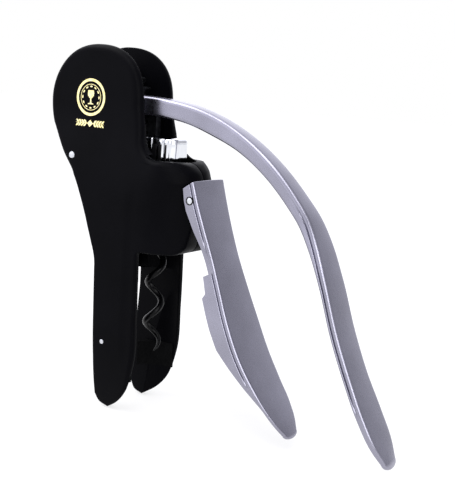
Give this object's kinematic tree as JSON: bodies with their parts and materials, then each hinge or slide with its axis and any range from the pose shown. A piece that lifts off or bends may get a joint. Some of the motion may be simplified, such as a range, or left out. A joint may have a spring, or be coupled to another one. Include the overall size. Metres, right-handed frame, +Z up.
{
  "type": "lever corkscrew",
  "caption": "Rack-and-pinion lever corkscrew with a round-headed black body, curved metal lever, squeeze clamp handle and an open coil worm.",
  "frame": {"origin": "on the worm's axis, level with the soles of the two legs", "axes": "+X forward towards the lever and clamp handle, +Y to the object's left, +Z up along the worm's axis"},
  "size_m": [0.1689, 0.036, 0.1553],
  "materials": {
    "shell": "soft-touch black moulding",
    "satin": "satin nickel plate on die-cast zinc",
    "chrome": "bright chrome plate",
    "steel": "bright turned steel",
    "dark_steel": "black-oxided steel",
    "nonstick": "black non-stick coating on steel wire",
    "rubber": "soft black rubber",
    "acetal": "black acetal",
    "gold": "hot-foil gold print"
  },
  "bodies": {
    "body": {"right_shell": "shell", "left_shell": "shell", "chassis": "acetal", "neck_stop": "rubber", "drive_nut": "acetal", "nut_plate": "steel", "nut_plate_screws": "steel", "shell_screws": "steel", "upper_pin": "steel", "leg_rivet_right": "steel", "leg_rivet_left": "steel", "grip_pad_right": "rubber", "grip_pad_left": "rubber", "lever_axle": "steel", "pivot_washers": "acetal", "clamp_pin": "steel", "clamp_spring": "steel", "badge": "gold"},
    "lever_arm": {"lever": "satin", "pinion_right": "dark_steel", "pinion_left": "dark_steel", "pinion_rivets": "steel", "hub_washer_right": "dark_steel", "hub_washer_left": "dark_steel"},
    "carriage_group": {"carriage": "chrome", "carriage_cap": "chrome", "rack_right": "dark_steel", "rack_left": "dark_steel", "rack_rivets": "steel", "guide_shoe_right": "acetal", "guide_shoe_left": "acetal", "thrust_washer": "steel"},
    "worm_group": {"worm": "nonstick", "worm_clip": "steel"},
    "clamp": {"clamp_handle": "satin", "clamp_shoe": "rubber"}
  },
  "joints": [
    {"name": "lever_pivot", "type": "hinge", "parent": "body", "child": "lever_arm", "pos_m": [-0.0284, 0, 0.131], "axis": [0, -1, 0], "range_deg": [0, 170]},
    {"name": "carriage_slide", "type": "slide", "parent": "body", "child": "carriage_group", "axis": [0, 0, 1], "range_m": [0, 0.04229]},
    {"name": "worm_spin", "type": "hinge", "parent": "carriage_group", "child": "worm_group", "pos_m": [0, 0, 0.09], "axis": [0, 0, 1], "range_deg": [0, 860.4]},
    {"name": "clamp_hinge", "type": "hinge", "parent": "body", "child": "clamp", "pos_m": [0.0231, 0, 0.0951], "axis": [0, 1, 0], "range_deg": [0, 22], "stiffness_Nm_per_rad": 0.5, "springref_deg": -22.92}
  ],
  "couplings": [
    {"joint": "carriage_slide", "follows": "lever_pivot", "m_per_rad": 0.01425},
    {"joint": "worm_spin", "follows": "lever_pivot", "ratio": 5.0585}
  ]
}
